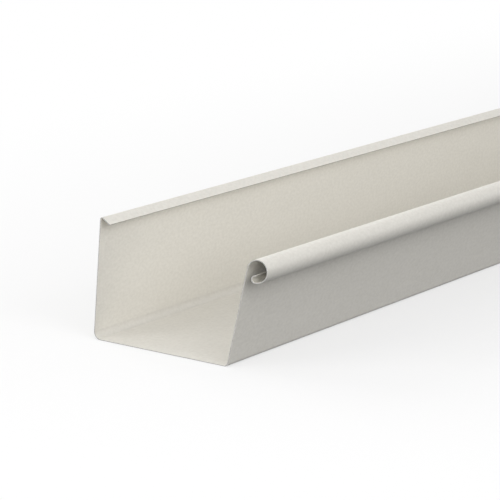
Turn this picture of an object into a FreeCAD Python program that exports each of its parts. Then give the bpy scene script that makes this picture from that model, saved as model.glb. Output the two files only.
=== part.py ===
import FreeCAD
import Part
import math
import os

# Steel gutter section, roll-formed from one coated sheet: an upright back wall with a hem folded
# down into the channel, a flat floor, and a front wall that leans out and ends in a round bead,
# whose free edge is curled back inside it. Millimetres and degrees. X runs along the gutter, the
# back wall faces +Y, the bead is toward -Y, and the origin is the bottom centre of the section.

# Stock
LENGTH = 2000.0
SHEET = 0.7

# Outside sizes of the section
OVERALL_WIDTH = 133.0
FLOOR_WIDTH = 107.0  # back face to the sharp corner of floor and front wall
BACK_HEIGHT = 86.0
BEAD_TOP = 77.0
BEAD_DIAMETER = 16.0

# Inside radii of the bends at both sides of the floor
BACK_BEND_RADIUS = 5.0
FRONT_BEND_RADIUS = 2.5

# Hem on top of the back wall
HEM_BEND_RADIUS = 0.8
HEM_FALL = 33.0  # angle below level
HEM_FLAT = 7.0

# Bead: its round top and front, its slightly wider underside, and the curl of its free edge
BEAD_TURN = 191.0
UNDERSIDE_TURN = 66.0
UNDERSIDE_WIDENING = 0.75  # added to the inside radius of the bead
CURL_FLAT = 1.1
CURL_TURN = 200.0
CURL_RADIUS = 2.15

QUARTER_TURN = math.pi / 2
HALF_SHEET = SHEET / 2
BACK_FACE = OVERALL_WIDTH / 2


def along(heading):
    """Direction of travel round the section: zero is toward the front, a quarter turn is up."""
    return FreeCAD.Vector(0, -math.cos(heading), math.sin(heading))


def inward(heading):
    """Direction across the sheet, from its middle to the channel side."""
    return FreeCAD.Vector(0, math.sin(heading), math.cos(heading))


class SheetSection:
    """Section of the sheet, drawn by following its middle from one free edge to the other."""

    def __init__(self, start, heading):
        self.middle = start
        self.heading = heading
        self.channel_side = []
        self.outer_side = []
        self.first_cut = self.cut_edge()

    def cut_edge(self):
        """Edge through the thickness at the point reached so far."""
        across = inward(self.heading) * HALF_SHEET
        return Part.LineSegment(self.middle + across, self.middle - across).toShape()

    def straight(self, length):
        """Go straight on."""
        across = inward(self.heading) * HALF_SHEET
        end = self.middle + along(self.heading) * length
        self.channel_side.append(Part.LineSegment(self.middle + across, end + across).toShape())
        self.outer_side.append(Part.LineSegment(self.middle - across, end - across).toShape())
        self.middle = end

    def bend(self, turn, inside_radius):
        """Go round a bend: a positive turn is toward the channel side."""
        reach = math.copysign(inside_radius + HALF_SHEET, turn)
        centre = self.middle + inward(self.heading) * reach
        spokes = [inward(self.heading + turn * share) for share in (0, 0.5, 1)]
        channel_points = [centre - spoke * (reach - HALF_SHEET) for spoke in spokes]
        outer_points = [centre - spoke * (reach + HALF_SHEET) for spoke in spokes]
        self.channel_side.append(Part.Arc(*channel_points).toShape())
        self.outer_side.append(Part.Arc(*outer_points).toShape())
        self.middle = centre - spokes[-1] * reach
        self.heading += turn

    def face(self):
        """The whole section as one flat face."""
        outline = self.channel_side + [self.cut_edge()] + self.outer_side[::-1] + [self.first_cut]
        return Part.Face(Part.Wire(outline))


def front_wall(bead_inside):
    """Lean from upright and sloping height of the front wall's outer face, which runs from the
    floor's sharp corner to where it meets the inside of the bead."""
    overhang = OVERALL_WIDTH - BEAD_DIAMETER / 2 - FLOOR_WIDTH
    bead_height = BEAD_TOP - BEAD_DIAMETER / 2
    distance = math.hypot(overhang, bead_height)
    lean = math.atan2(overhang, bead_height) - math.asin(bead_inside / distance)
    return lean, math.sqrt(distance ** 2 - bead_inside ** 2)


def hem_start():
    """Free edge of the hem, and the heading from there up the slope to the top of the back wall."""
    heading = 2 * QUARTER_TURN - math.radians(HEM_FALL)
    bend_depth = HEM_BEND_RADIUS + SHEET
    bend_centre = FreeCAD.Vector(0, BACK_FACE - bend_depth, BACK_HEIGHT - bend_depth)
    bend_start = bend_centre - inward(heading) * (HEM_BEND_RADIUS + HALF_SHEET)
    return bend_start - along(heading) * HEM_FLAT, heading


def section():
    """The sheet's section, from the hem over the back wall, floor, front wall and bead to the curl."""
    bead_inside = BEAD_DIAMETER / 2 - SHEET
    lean, wall_height = front_wall(bead_inside)
    front_turn = QUARTER_TURN - lean
    front_setback = (FRONT_BEND_RADIUS + SHEET) * math.tan(front_turn / 2)
    back_setback = BACK_BEND_RADIUS + SHEET
    hem_depth = HEM_BEND_RADIUS + SHEET

    sheet = SheetSection(*hem_start())
    sheet.straight(HEM_FLAT)
    sheet.bend(QUARTER_TURN + math.radians(HEM_FALL), HEM_BEND_RADIUS)
    sheet.straight(BACK_HEIGHT - hem_depth - back_setback)
    sheet.bend(QUARTER_TURN, BACK_BEND_RADIUS)
    sheet.straight(FLOOR_WIDTH - back_setback - front_setback)
    sheet.bend(front_turn, FRONT_BEND_RADIUS)
    sheet.straight(wall_height - front_setback)
    sheet.bend(-math.radians(BEAD_TURN), bead_inside)
    sheet.bend(-math.radians(UNDERSIDE_TURN), bead_inside + UNDERSIDE_WIDENING)
    sheet.straight(CURL_FLAT)
    sheet.bend(-math.radians(CURL_TURN), CURL_RADIUS)
    return sheet.face()


def gutter_section():
    """The section drawn out to the gutter's length, centred on the origin."""
    profile = section()
    profile.translate(FreeCAD.Vector(-LENGTH / 2, 0, 0))
    return profile.extrude(FreeCAD.Vector(LENGTH, 0, 0))


os.makedirs("parts", exist_ok=True)
gutter_section().exportStep("parts/gutter_section.step")
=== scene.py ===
import math

import bpy
import numpy as np
from mathutils import Matrix, Vector


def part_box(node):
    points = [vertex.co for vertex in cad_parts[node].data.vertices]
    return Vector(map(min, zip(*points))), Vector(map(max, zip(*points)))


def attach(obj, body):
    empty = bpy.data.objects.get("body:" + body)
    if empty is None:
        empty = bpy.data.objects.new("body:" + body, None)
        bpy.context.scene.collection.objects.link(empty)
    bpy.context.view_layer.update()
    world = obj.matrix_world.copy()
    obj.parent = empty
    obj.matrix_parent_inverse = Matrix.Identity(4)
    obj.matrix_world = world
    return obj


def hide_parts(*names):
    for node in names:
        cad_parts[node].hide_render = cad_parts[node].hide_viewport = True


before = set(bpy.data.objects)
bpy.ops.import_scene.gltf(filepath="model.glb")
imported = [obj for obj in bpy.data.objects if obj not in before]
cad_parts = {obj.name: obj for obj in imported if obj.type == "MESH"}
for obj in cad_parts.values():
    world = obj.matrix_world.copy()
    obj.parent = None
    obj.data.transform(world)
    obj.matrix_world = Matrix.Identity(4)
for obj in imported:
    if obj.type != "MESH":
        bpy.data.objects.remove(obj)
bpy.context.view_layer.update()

# Section of the sheet, in metres and radians. Radii are on the inside of each bend.
MM = 0.001
NODE = "gutter_section"
BODY = "root"
low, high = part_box(NODE)
LENGTH = high.x - low.x
OVERALL_WIDTH = high.y - low.y
BACK_HEIGHT = high.z - low.z
BACK_FACE = high.y
SHEET = 0.7 * MM
FLOOR_WIDTH = 107 * MM
BEAD_TOP = 77 * MM
BEAD_DIAMETER = 16 * MM
BACK_BEND_RADIUS = 5 * MM
FRONT_BEND_RADIUS = 2.5 * MM
HEM_BEND_RADIUS = 0.8 * MM
HEM_FALL = math.radians(33)
HEM_FLAT = 7 * MM
BEAD_TURN = math.radians(191)
UNDERSIDE_TURN = math.radians(66)
UNDERSIDE_WIDENING = 0.75 * MM
CURL_FLAT = 1.1 * MM
CURL_TURN = math.radians(200)
CURL_RADIUS = 2.15 * MM

# Sheet layers, counted from the channel side, and how finely the mesh follows the section
COAT = 0.04 * MM
STEEL_LAYER = 1
EDGE_ROUNDING = 0.05 * MM
BEND_STEP = math.radians(4)
FLAT_STEP = 10 * MM
LENGTH_PIECES = 40
QUARTER_TURN = math.pi / 2
HALF_SHEET = SHEET / 2

# Camera, from the vanishing point and the edges of the photographed section
VIEW_AZIMUTH = math.radians(-60.762)
VIEW_ELEVATION = math.radians(12.568)
VIEW_ROLL = math.radians(3.725)
VIEW_DISTANCE = 2.3
VIEW_TARGET = Vector((-0.7524, 0.0866, 0.0194))
LENS = 218.0
SENSOR = 36.0
CLIP_END = 200.0

# Noises: scale in waves per metre, the share of that along the gutter, and detail in octaves
MOTTLE = {"scale": 38, "lengthwise": 0.25, "detail": 3}
GRAIN = {"scale": 500, "lengthwise": 0.6, "detail": 1}
SHEEN = {"scale": 60, "lengthwise": 0.15, "detail": 4}
WAVES = {"scale": 9, "lengthwise": 0.35, "detail": 1}
PEEL = {"scale": 800, "lengthwise": 1, "detail": 1.5}
SCORING = {"scale": 5000, "lengthwise": 1, "detail": 3, "roughness": 0.7}

# Paint. The tones run from dark to light over the middle of the noise.
PAINT_LIGHT = (0.790, 0.769, 0.715, 1)
PAINT_DARK = (0.720, 0.699, 0.645, 1)
PAINT_SPECULAR = 0.2
PAINT_ROUGHNESS = (0.36, 0.46)
GRAIN_SHARE = 0.75
TONES_FROM = 0.3
TONES_TO = 0.7
WAVE_DEPTH = 0.35 * MM
PEEL_DEPTH = 0.022 * MM

# Painted shade along the rear bend: how far round the bend its middle is, and how far it reaches
BEND_SHADE_TURN = math.radians(38.5)
BEND_SHADE_CORE = 2.6 * MM
BEND_SHADE_REACH = 4.2 * MM
BEND_SHADE_TONE = (0.91, 0.91, 0.91, 1)

# Sheared edge
STEEL_LIGHT = (0.46, 0.455, 0.44, 1)
STEEL_DARK = (0.36, 0.355, 0.34, 1)
STEEL_METALLIC = 0.3
STEEL_ROUGHNESS = (0.45, 0.62)
SCORING_DEPTH = 0.01 * MM

# Floor and world: the light they give, what is seen of the floor, and how far off it turns white
FLOOR_SIZE = 60.0
FLOOR_BOUNCE = 0.03
FLOOR_SEEN = 0.88
FLOOR_LIFT = 0.6
WHITE_FROM = 0.12
WHITE_AT = 0.6
WHITE = (1, 1, 1, 1)
AMBIENT = 0.62

# Height of the places on the gutter that the softboxes face
AIM_HEIGHT = 0.05


def along(heading):
    """Direction of travel round the section: zero is toward the front, a quarter turn is up."""
    return np.array((-math.cos(heading), math.sin(heading)))


def inward(heading):
    """Direction across the sheet, from its middle to the channel side."""
    return np.array((math.sin(heading), math.cos(heading)))


class SheetMiddle:
    """Middle line of the sheet in the section's plane, as places (Y and Z) and headings."""

    def __init__(self, start, heading):
        self.places = [start]
        self.headings = [heading]

    def straight(self, length):
        """Go straight on."""
        start = self.places[-1]
        heading = self.headings[-1]
        pieces = max(1, math.ceil(length / FLAT_STEP))
        for piece in range(1, pieces + 1):
            self.places.append(start + along(heading) * length * piece / pieces)
            self.headings.append(heading)

    def bend(self, turn, inside_radius):
        """Go round a bend: a positive turn is toward the channel side."""
        heading = self.headings[-1]
        reach = math.copysign(inside_radius + HALF_SHEET, turn)
        centre = self.places[-1] + inward(heading) * reach
        pieces = math.ceil(abs(turn) / BEND_STEP)
        for piece in range(1, pieces + 1):
            turned = heading + turn * piece / pieces
            self.places.append(centre - inward(turned) * reach)
            self.headings.append(turned)


def sheet_middle():
    """The sheet's middle, from the hem's free edge over both walls and the bead to the curl."""
    bead_inside = BEAD_DIAMETER / 2 - SHEET
    overhang = OVERALL_WIDTH - BEAD_DIAMETER / 2 - FLOOR_WIDTH
    bead_height = BEAD_TOP - BEAD_DIAMETER / 2
    distance = math.hypot(overhang, bead_height)
    lean = math.atan2(overhang, bead_height) - math.asin(bead_inside / distance)
    wall_height = math.sqrt(distance ** 2 - bead_inside ** 2)
    front_turn = QUARTER_TURN - lean
    front_setback = (FRONT_BEND_RADIUS + SHEET) * math.tan(front_turn / 2)
    back_setback = BACK_BEND_RADIUS + SHEET
    hem_depth = HEM_BEND_RADIUS + SHEET

    heading = 2 * QUARTER_TURN - HEM_FALL
    hem_centre = np.array((BACK_FACE - hem_depth, BACK_HEIGHT - hem_depth))
    hem_bend_start = hem_centre - inward(heading) * (HEM_BEND_RADIUS + HALF_SHEET)
    middle = SheetMiddle(hem_bend_start - along(heading) * HEM_FLAT, heading)
    middle.straight(HEM_FLAT)
    middle.bend(QUARTER_TURN + HEM_FALL, HEM_BEND_RADIUS)
    middle.straight(BACK_HEIGHT - hem_depth - back_setback)
    middle.bend(QUARTER_TURN, BACK_BEND_RADIUS)
    middle.straight(FLOOR_WIDTH - back_setback - front_setback)
    middle.bend(front_turn, FRONT_BEND_RADIUS)
    middle.straight(wall_height - front_setback)
    middle.bend(-BEAD_TURN, bead_inside)
    middle.bend(-UNDERSIDE_TURN, bead_inside + UNDERSIDE_WIDENING)
    middle.straight(CURL_FLAT)
    middle.bend(-CURL_TURN, CURL_RADIUS)
    return np.array(middle.places), np.array(middle.headings)


def sheet_mesh(name, paint, steel):
    """The whole sheet as one closed mesh with true normals: painted skins, and bare steel between the
    coats at every cut. Its points are counted by depth through the sheet, by place round the section
    and by station along the gutter. The skins stop a little short of each cut, which rounds its edges."""
    places, headings = sheet_middle()
    travel = np.array([along(heading) for heading in headings])
    across = np.array([inward(heading) for heading in headings])
    stations = np.linspace(low.x, high.x, LENGTH_PIECES + 1)
    depths = (HALF_SHEET, HALF_SHEET - COAT, COAT - HALF_SHEET, -HALF_SHEET)
    last_depth = len(depths) - 1
    last_place = len(places) - 1
    last_station = LENGTH_PIECES
    pull_in = {0: EDGE_ROUNDING, last_place: -EDGE_ROUNDING}
    trim = {0: EDGE_ROUNDING, last_station: -EDGE_ROUNDING}
    vertices = []
    numbers = {}
    faces = []
    slots = []
    smooth = []
    normals = []

    def vertex(depth, place, station):
        """Number of the vertex at that depth, place and station, made when it is first asked for."""
        key = (depth, place, station)
        if key not in numbers:
            x = stations[station]
            y, z = places[place] + across[place] * depths[depth]
            if depth in (0, last_depth):
                x += trim.get(station, 0)
                y += travel[place][0] * pull_in.get(place, 0)
                z += travel[place][1] * pull_in.get(place, 0)
            numbers[key] = len(vertices)
            vertices.append((x, y, z))
        return numbers[key]

    def face(keys, slot, flip, side=0):
        """One quad; side is the skin it lies on, or zero on a cut, which is shaded flat."""
        ordered = keys[::-1] if flip else keys
        faces.append([vertex(*key) for key in ordered])
        slots.append(slot)
        smooth.append(side != 0)
        for _, place, _ in ordered:
            normals.append((0, across[place][0] * side, across[place][1] * side))

    for depth, side in ((0, 1), (last_depth, -1)):
        for p in range(last_place):
            for s in range(last_station):
                keys = [(depth, p, s), (depth, p, s + 1), (depth, p + 1, s + 1), (depth, p + 1, s)]
                face(keys, paint, side > 0, side)
    for d in range(last_depth):
        slot = steel if d == STEEL_LAYER else paint
        for p in (0, last_place):
            for s in range(last_station):
                keys = [(d, p, s), (d, p, s + 1), (d + 1, p, s + 1), (d + 1, p, s)]
                face(keys, slot, p == last_place)
        for s in (0, last_station):
            for p in range(last_place):
                keys = [(d, p, s), (d, p + 1, s), (d + 1, p + 1, s), (d + 1, p, s)]
                face(keys, slot, s == 0)

    mesh = bpy.data.meshes.new(name)
    mesh.from_pydata(vertices, [], faces)
    mesh.polygons.foreach_set("material_index", slots)
    mesh.polygons.foreach_set("use_smooth", smooth)
    mesh.normals_split_custom_set(normals)
    mesh.validate()
    return mesh


class Nodes:
    """Short way to build a material's or the world's node tree."""

    def __init__(self, tree):
        self.tree = tree
        self.tree.nodes.clear()

    def add(self, kind, inputs=None, **settings):
        """A node with its settings and inputs; an input is a value, or another node's output."""
        node = self.tree.nodes.new(kind)
        for name, value in settings.items():
            setattr(node, name, value)
        for name, value in (inputs or {}).items():
            if isinstance(value, bpy.types.NodeSocket):
                self.tree.links.new(value, node.inputs[name])
            else:
                node.inputs[name].default_value = value
        return node

    def noise(self, place, scale, lengthwise, detail, roughness=0.5):
        """Noise from 0 to 1 at a place; its waves are longer along the gutter where their share is under 1."""
        inputs = {"Vector": place, "Scale": (lengthwise, 1, 1)}
        vector = self.add("ShaderNodeMapping", inputs).outputs["Vector"]
        inputs = {"Vector": vector, "Scale": scale, "Detail": detail, "Roughness": roughness}
        return self.add("ShaderNodeTexNoise", inputs).outputs["Fac"]

    def spread(self, value, least, most):
        """A value from 0 to 1 spread over a range."""
        inputs = {"Value": value, "To Min": least, "To Max": most}
        return self.add("ShaderNodeMapRange", inputs).outputs["Result"]

    def blend(self, share, first, second, kind="MIX"):
        """Colour that goes from the first to the second as the share goes from 0 to 1."""
        inputs = {"Factor": share, "A": first, "B": second}
        return self.add("ShaderNodeMix", inputs, data_type="RGBA", blend_type=kind).outputs["Result"]

    def bump(self, height, depth, base=None):
        """Surface relief of a depth in metres, on top of another relief if there is one."""
        inputs = {"Height": height, "Distance": depth, "Strength": 1.0}
        if base is not None:
            inputs["Normal"] = base
        return self.add("ShaderNodeBump", inputs).outputs["Normal"]


def painted_bend_shade(n, place):
    """1 along the rear bend, where shade is painted into the paint's colour, fading to 0 beside it."""
    y = BACK_FACE - SHEET - BACK_BEND_RADIUS * (1 - math.cos(BEND_SHADE_TURN))
    z = low.z + SHEET + BACK_BEND_RADIUS * (1 - math.sin(BEND_SHADE_TURN))
    section = n.add("ShaderNodeVectorMath", {0: place, 1: (0, 1, 1)}, operation="MULTIPLY").outputs["Vector"]
    away = n.add("ShaderNodeVectorMath", {0: section, 1: (0, y, z)}, operation="DISTANCE").outputs["Value"]
    fade = {"Value": away, "From Min": BEND_SHADE_CORE, "From Max": BEND_SHADE_REACH, "To Min": 1.0, "To Max": 0.0}
    return n.add("ShaderNodeMapRange", fade, interpolation_type="SMOOTHSTEP").outputs["Result"]


def paint_material():
    """Satin off-white coil coating: faint mottling and fine grain, painted shade along the rear bend,
    orange peel and slow waves along the sheet."""
    material = bpy.data.materials.new("off_white_coil_coating")
    material.use_nodes = True
    n = Nodes(material.node_tree)
    place = n.add("ShaderNodeTexCoord").outputs["Object"]
    grains = {"Factor": GRAIN_SHARE, "A": n.noise(place, **MOTTLE), "B": n.noise(place, **GRAIN)}
    tone = n.add("ShaderNodeMix", grains).outputs["Result"]
    tones = {"Value": tone, "From Min": TONES_FROM, "From Max": TONES_TO}
    tone = n.add("ShaderNodeMapRange", tones).outputs["Result"]
    colour = n.blend(tone, PAINT_DARK, PAINT_LIGHT)
    # Painted shade: the paint's colour is darkened along the inside of the rear bend
    colour = n.blend(painted_bend_shade(n, place), colour, BEND_SHADE_TONE, "MULTIPLY")
    waves = n.bump(n.noise(place, **WAVES), WAVE_DEPTH)
    inputs = {
        "Base Color": colour,
        "Roughness": n.spread(n.noise(place, **SHEEN), *PAINT_ROUGHNESS),
        "Specular IOR Level": PAINT_SPECULAR,
        "Normal": n.bump(n.noise(place, **PEEL), PEEL_DEPTH, waves),
    }
    shader = n.add("ShaderNodeBsdfPrincipled", inputs)
    n.add("ShaderNodeOutputMaterial", {"Surface": shader.outputs["BSDF"]})
    return material


def steel_material():
    """Sheared cut with zinc and paint smeared over the steel, finely scored."""
    material = bpy.data.materials.new("sheared_edge")
    material.use_nodes = True
    n = Nodes(material.node_tree)
    scoring = n.noise(n.add("ShaderNodeTexCoord").outputs["Object"], **SCORING)
    inputs = {
        "Base Color": n.blend(scoring, STEEL_DARK, STEEL_LIGHT),
        "Metallic": STEEL_METALLIC,
        "Roughness": n.spread(scoring, *STEEL_ROUGHNESS),
        "Normal": n.bump(scoring, SCORING_DEPTH),
    }
    shader = n.add("ShaderNodeBsdfPrincipled", inputs)
    n.add("ShaderNodeOutputMaterial", {"Surface": shader.outputs["BSDF"]})
    return material


def make_gutter():
    """The folded sheet, which stands for the plain solid of the frame."""
    mesh = sheet_mesh("folded_sheet", paint=0, steel=1)
    mesh.materials.append(paint_material())
    mesh.materials.append(steel_material())
    sheet = bpy.data.objects.new("folded_sheet", mesh)
    bpy.context.scene.collection.objects.link(sheet)
    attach(sheet, BODY)
    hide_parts(NODE)


def seen_directly(n):
    """1 for rays from the camera, and for reflected and transmitted rays, and 0 for diffuse light."""
    path = n.add("ShaderNodeLightPath").outputs
    seen = n.add("ShaderNodeMath", {0: path["Is Camera Ray"], 1: path["Is Glossy Ray"]}, operation="ADD")
    seen = n.add("ShaderNodeMath", {0: seen.outputs[0], 1: path["Is Transmission Ray"]}, operation="ADD")
    seen.use_clamp = True
    return seen.outputs[0]


def away_from_gutter(n):
    """Distance on the floor from the gutter's middle line, whose ends are the gutter's ends."""
    place = n.add("ShaderNodeTexCoord").outputs["Object"]
    axes = n.add("ShaderNodeSeparateXYZ", {"Vector": place}).outputs
    along_x = n.add("ShaderNodeMath", {0: axes["X"]}, operation="ABSOLUTE").outputs[0]
    past_end = n.add("ShaderNodeMath", {0: along_x, 1: LENGTH / 2}, operation="SUBTRACT").outputs[0]
    past_end = n.add("ShaderNodeMath", {0: past_end, 1: 0.0}, operation="MAXIMUM").outputs[0]
    offset = n.add("ShaderNodeCombineXYZ", {"X": past_end, "Y": axes["Y"]}).outputs["Vector"]
    return n.add("ShaderNodeVectorMath", {0: offset}, operation="LENGTH").outputs["Value"]


def make_floor():
    """Pale floor under the gutter, which gives little light back. It keeps the gutter's shadow, and
    turns white farther away."""
    half = FLOOR_SIZE / 2
    mesh = bpy.data.meshes.new("floor")
    corners = [(-half, -half, 0), (half, -half, 0), (half, half, 0), (-half, half, 0)]
    mesh.from_pydata(corners, [], [(0, 1, 2, 3)])
    floor = bpy.data.objects.new("floor", mesh)
    bpy.context.scene.collection.objects.link(floor)
    material = bpy.data.materials.new("studio_floor")
    material.use_nodes = True
    n = Nodes(material.node_tree)
    seen = seen_directly(n)
    matt = n.add("ShaderNodeBsdfDiffuse", {"Color": n.spread(seen, FLOOR_BOUNCE, FLOOR_SEEN)})
    glow = n.add("ShaderNodeEmission", {"Color": WHITE, "Strength": 1.0})
    fade = {"Value": away_from_gutter(n), "From Min": WHITE_FROM, "From Max": WHITE_AT, "To Min": FLOOR_LIFT}
    lift = n.add("ShaderNodeMapRange", fade, interpolation_type="SMOOTHSTEP").outputs["Result"]
    share = n.add("ShaderNodeMath", {0: seen, 1: lift}, operation="MULTIPLY")
    mixed = n.add("ShaderNodeMixShader", {"Fac": share.outputs[0], 1: matt.outputs[0], 2: glow.outputs[0]})
    n.add("ShaderNodeOutputMaterial", {"Surface": mixed.outputs[0]})
    mesh.materials.append(material)


def make_world():
    """Even soft light from all round; white where it is seen."""
    world = bpy.data.worlds.new("studio")
    bpy.context.scene.world = world
    world.use_nodes = True
    n = Nodes(world.node_tree)
    ambient = n.add("ShaderNodeBackground", {"Color": WHITE, "Strength": AMBIENT})
    white = n.add("ShaderNodeBackground", {"Color": WHITE, "Strength": 1.0})
    shares = {"Fac": seen_directly(n), 1: ambient.outputs[0], 2: white.outputs[0]}
    mixed = n.add("ShaderNodeMixShader", shares)
    n.add("ShaderNodeOutputWorld", {"Surface": mixed.outputs[0]})


def add_softbox(name, place, aim_x, size, watts):
    """Softbox at a place, facing the gutter's middle line at a distance along X."""
    light = bpy.data.lights.new(name, "AREA")
    light.shape = "RECTANGLE"
    light.size, light.size_y = size
    light.energy = watts
    lamp = bpy.data.objects.new(name, light)
    lamp.location = place
    toward = Vector((aim_x, 0.0, AIM_HEIGHT)) - Vector(place)
    lamp.rotation_euler = toward.to_track_quat("-Z", "Y").to_euler()
    bpy.context.scene.collection.objects.link(lamp)


def make_lights():
    """Six softboxes, most of them toward the left end, which is the one photographed."""
    add_softbox("front_softbox", place=(-1.4, -1.7, 1.2), aim_x=-1.0, size=(1.2, 1.2), watts=10)
    add_softbox("low_left_softbox", place=(-2.4, -1.2, 0.45), aim_x=-1.0, size=(1.4, 0.8), watts=6)
    add_softbox("high_left_softbox", place=(-2.6, -1.4, 2.8), aim_x=-0.7, size=(2.0, 2.0), watts=12)
    add_softbox("rear_left_softbox", place=(-3.4, 1.4, 0.8), aim_x=-0.9, size=(1.6, 1.2), watts=42)
    add_softbox("rear_softbox", place=(-0.6, 3.0, 1.5), aim_x=-0.7, size=(3.0, 1.6), watts=33)
    add_softbox("right_softbox", place=(2.4, -1.6, 0.7), aim_x=-0.6, size=(2.4, 1.4), watts=10.5)


def make_camera():
    """Camera at the photograph's viewing angle, on a long lens."""
    data = bpy.data.cameras.new("camera")
    data.lens = LENS
    data.sensor_width = SENSOR
    data.clip_end = CLIP_END
    camera = bpy.data.objects.new("camera", data)
    level = Vector((math.cos(VIEW_AZIMUTH), math.sin(VIEW_AZIMUTH), 0))
    toward = Vector((-math.sin(VIEW_AZIMUTH), math.cos(VIEW_AZIMUTH), 0))
    view = toward * math.cos(VIEW_ELEVATION) - Vector((0, 0, math.sin(VIEW_ELEVATION)))
    upright = level.cross(view)
    right = level * math.cos(VIEW_ROLL) + upright * math.sin(VIEW_ROLL)
    up = upright * math.cos(VIEW_ROLL) - level * math.sin(VIEW_ROLL)
    turn = Matrix((right, up, -view)).transposed().to_4x4()
    camera.matrix_world = Matrix.Translation(VIEW_TARGET - view * VIEW_DISTANCE) @ turn
    bpy.context.scene.collection.objects.link(camera)
    bpy.context.scene.camera = camera


make_camera()
make_gutter()
make_floor()
make_world()
make_lights()
bpy.context.scene.view_settings.view_transform = "Standard"
